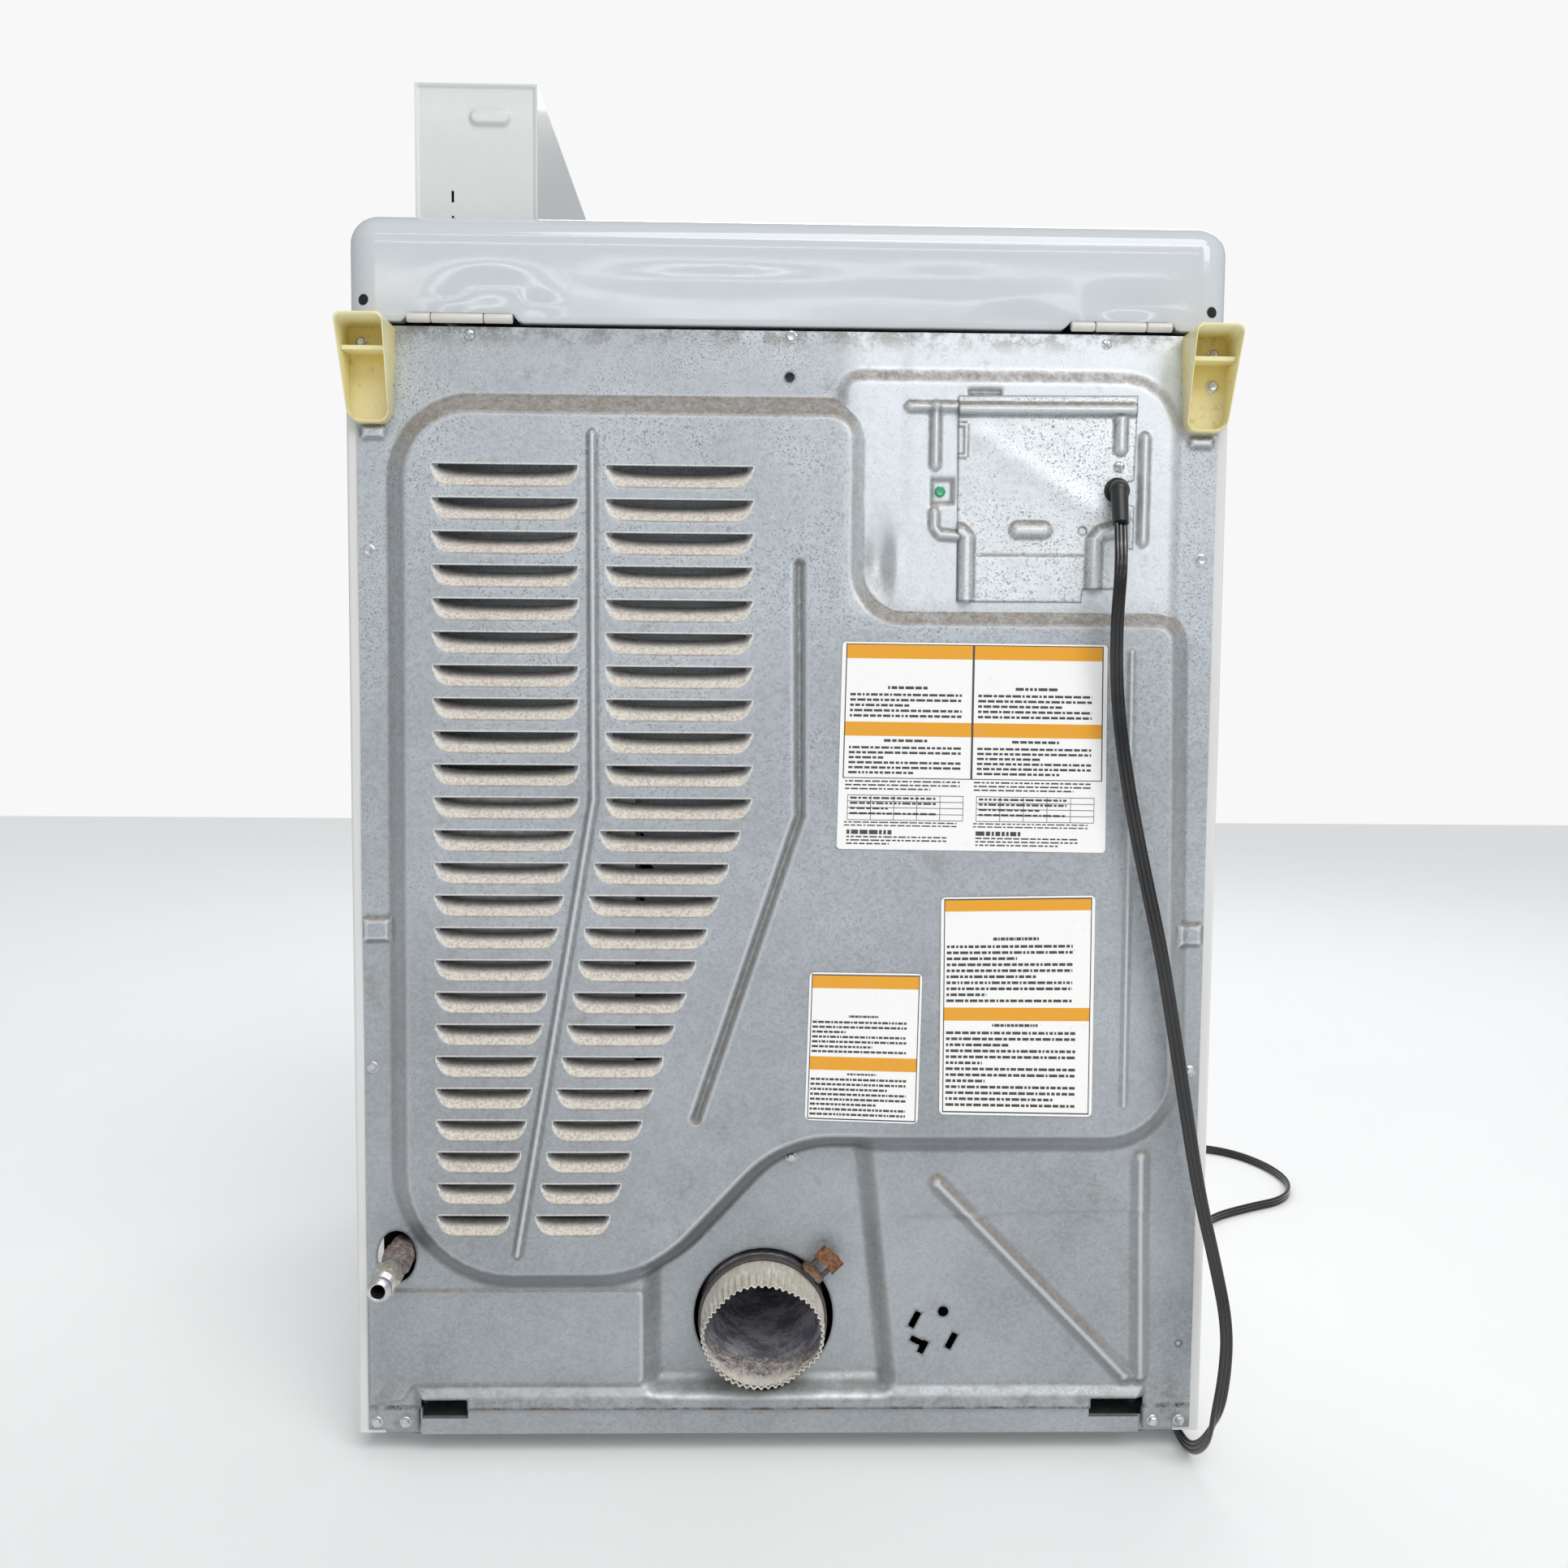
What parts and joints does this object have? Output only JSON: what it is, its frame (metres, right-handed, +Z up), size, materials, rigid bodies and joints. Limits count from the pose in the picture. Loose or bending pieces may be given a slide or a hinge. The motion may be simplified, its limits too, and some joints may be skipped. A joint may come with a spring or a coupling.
{
  "type": "clothes dryer",
  "caption": "Gas clothes dryer with a coin meter case on its lifting cover, seen from its louvered back, with exhaust stub, gas inlet and power cord.",
  "frame": {"origin": "on the floor under the middle of the dryer", "axes": "+Z up; the loading door faces -Y and the louvered back with the exhaust faces +Y; +X is right seen from the front"},
  "size_m": [0.9967, 0.866, 1.097],
  "materials": {
    "white_enamel": "gloss enamel",
    "drum_enamel": "satin enamel",
    "meter_paint": "satin paint",
    "hinge_paint": "satin paint",
    "motor_paint": "satin paint",
    "galvanised": "dull spangled zinc with dust",
    "duct_metal": "dull zinc",
    "vent_metal": "dull, dusty zinc",
    "bright_steel": "plated",
    "rusty_steel": "rusty",
    "leg_steel": "plated",
    "cast_aluminium": "cast",
    "board": "satin",
    "fascia_plastic": "satin",
    "grey_plastic": "satin",
    "black_plastic": "satin",
    "baffle_plastic": "satin",
    "lint_plastic": "matte",
    "spacer_plastic": "translucent, aged",
    "gasket_felt": "felt",
    "belt_rubber": "matte",
    "cord_vinyl": "gloss vinyl"
  },
  "bodies": {
    "cabinet": {"access_panel": "white_enamel", "base_pan": "galvanised", "blower_housing": "duct_metal", "burner_tube": "duct_metal", "clamp_screw": "rusty_steel", "control_board": "board", "control_fascia": "fascia_plastic", "cord_strain_relief": "black_plastic", "cover_hinge_pins": "hinge_paint", "door_hinge_brackets": "bright_steel", "drum_belt": "belt_rubber", "exhaust_clamp": "rusty_steel", "exhaust_duct": "duct_metal", "exhaust_stub": "vent_metal", "front_bulkhead": "drum_enamel", "front_panel": "white_enamel", "gas_fitting": "bright_steel", "gas_pipe": "duct_metal", "gas_valve": "cast_aluminium", "heat_duct": "duct_metal", "motor_body": "motor_paint", "motor_bracket": "galvanised", "panel_screws": "bright_steel", "power_cord": "cord_vinyl", "power_plug": "cord_vinyl", "rear_bulkhead": "galvanised", "rear_panel": "galvanised", "rear_spacer_left": "spacer_plastic", "rear_spacer_right": "spacer_plastic", "roller_shafts": "bright_steel", "side_panel_left": "white_enamel", "side_panel_right": "white_enamel", "terminal_cover": "galvanised"},
    "cover": {"top_cover": "white_enamel", "cover_hinge_knuckles": "hinge_paint", "meter_case": "meter_paint"},
    "coin_drawer_body": {"coin_drawer": "meter_paint"},
    "coin_lock_body": {"coin_lock": "bright_steel"},
    "door": {"door_outer": "white_enamel", "door_inner": "white_enamel", "door_gasket": "gasket_felt", "door_handle": "grey_plastic"},
    "drum": {"drum_shell": "drum_enamel", "drum_baffles": "baffle_plastic"},
    "roller_left": {"drum_roller_left": "belt_rubber"},
    "roller_right": {"drum_roller_right": "belt_rubber"},
    "motor_rotor": {"motor_pulley": "bright_steel", "blower_wheel": "black_plastic"},
    "idler_lever": {"idler_arm": "bright_steel"},
    "idler_wheel": {"idler_pulley": "black_plastic"},
    "lint_filter": {"lint_screen": "lint_plastic"},
    "button_high_body": {"button_high": "grey_plastic"},
    "button_medium_body": {"button_medium": "grey_plastic"},
    "button_low_body": {"button_low": "grey_plastic"},
    "button_start_body": {"button_start": "grey_plastic"},
    "gas_shutoff": {"shutoff_lever": "bright_steel"},
    "foot_front_left": {"leg_front_left": "leg_steel"},
    "foot_front_right": {"leg_front_right": "leg_steel"},
    "foot_rear_left": {"leg_rear_left": "leg_steel"},
    "foot_rear_right": {"leg_rear_right": "leg_steel"}
  },
  "joints": [
    {"name": "cover_hinge", "type": "hinge", "parent": "cabinet", "child": "cover", "pos_m": [0, 0.3245, 0.9065], "axis": [-1, 0, 0], "range_deg": [0, 60]},
    {"name": "coin_drawer_slide", "type": "slide", "parent": "cover", "child": "coin_drawer_body", "axis": [0, -1, 0], "range_m": [0, 0.16]},
    {"name": "coin_lock_turn", "type": "hinge", "parent": "coin_drawer_body", "child": "coin_lock_body", "pos_m": [0.248, -0.14, 1.019], "axis": [0, 1, 0], "range_deg": [0, 90]},
    {"name": "door_hinge", "type": "hinge", "parent": "cabinet", "child": "door", "pos_m": [0.259, -0.381, 0.56], "axis": [0, 0, 1], "range_deg": [0, 120]},
    {"name": "drum_spin", "type": "hinge", "parent": "cabinet", "child": "drum", "pos_m": [0, 0, 0.565], "axis": [0, 1, 0], "continuous": true},
    {"name": "roller_left_spin", "type": "hinge", "parent": "cabinet", "child": "roller_left", "pos_m": [-0.21751, 0.215, 0.2866], "axis": [0, 1, 0], "continuous": true},
    {"name": "roller_right_spin", "type": "hinge", "parent": "cabinet", "child": "roller_right", "pos_m": [0.21751, 0.215, 0.2866], "axis": [0, 1, 0], "continuous": true},
    {"name": "motor_spin", "type": "hinge", "parent": "cabinet", "child": "motor_rotor", "pos_m": [-0.19, -0.11, 0.13], "axis": [0, 1, 0], "continuous": true},
    {"name": "idler_tension", "type": "hinge", "parent": "cabinet", "child": "idler_lever", "pos_m": [-0.13, -0.097, 0.06], "axis": [0, -1, 0], "range_deg": [0, 8]},
    {"name": "idler_spin", "type": "hinge", "parent": "idler_lever", "child": "idler_wheel", "pos_m": [-0.11, -0.11, 0.135], "axis": [0, 1, 0], "continuous": true},
    {"name": "lint_screen_slide", "type": "slide", "parent": "cabinet", "child": "lint_filter", "axis": [0, 0, 1], "range_m": [0, 0.24]},
    {"name": "button_high_press", "type": "slide", "parent": "cabinet", "child": "button_high_body", "axis": [0, 1, 0], "range_m": [0, 0.0018], "stiffness_N_per_m": 400},
    {"name": "button_medium_press", "type": "slide", "parent": "cabinet", "child": "button_medium_body", "axis": [0, 1, 0], "range_m": [0, 0.0018], "stiffness_N_per_m": 400},
    {"name": "button_low_press", "type": "slide", "parent": "cabinet", "child": "button_low_body", "axis": [0, 1, 0], "range_m": [0, 0.0018], "stiffness_N_per_m": 400},
    {"name": "button_start_press", "type": "slide", "parent": "cabinet", "child": "button_start_body", "axis": [0, 1, 0], "range_m": [0, 0.0018], "stiffness_N_per_m": 400},
    {"name": "gas_shutoff_turn", "type": "hinge", "parent": "cabinet", "child": "gas_shutoff", "pos_m": [0.27, -0.214, 0.158], "axis": [0, 1, 0], "range_deg": [0, 90]},
    {"name": "foot_front_left_level", "type": "slide", "parent": "cabinet", "child": "foot_front_left", "axis": [0, 0, 1], "range_m": [-0.025, 0]},
    {"name": "foot_front_right_level", "type": "slide", "parent": "cabinet", "child": "foot_front_right", "axis": [0, 0, 1], "range_m": [-0.025, 0]},
    {"name": "foot_rear_left_level", "type": "slide", "parent": "cabinet", "child": "foot_rear_left", "axis": [0, 0, 1], "range_m": [-0.025, 0]},
    {"name": "foot_rear_right_level", "type": "slide", "parent": "cabinet", "child": "foot_rear_right", "axis": [0, 0, 1], "range_m": [-0.025, 0]}
  ],
  "couplings": [
    {"joint": "roller_left_spin", "follows": "drum_spin", "ratio": -9.0857},
    {"joint": "roller_right_spin", "follows": "drum_spin", "ratio": -9.0857},
    {"joint": "motor_spin", "follows": "drum_spin", "ratio": 26.5},
    {"joint": "idler_spin", "follows": "drum_spin", "ratio": 15.9}
  ]
}
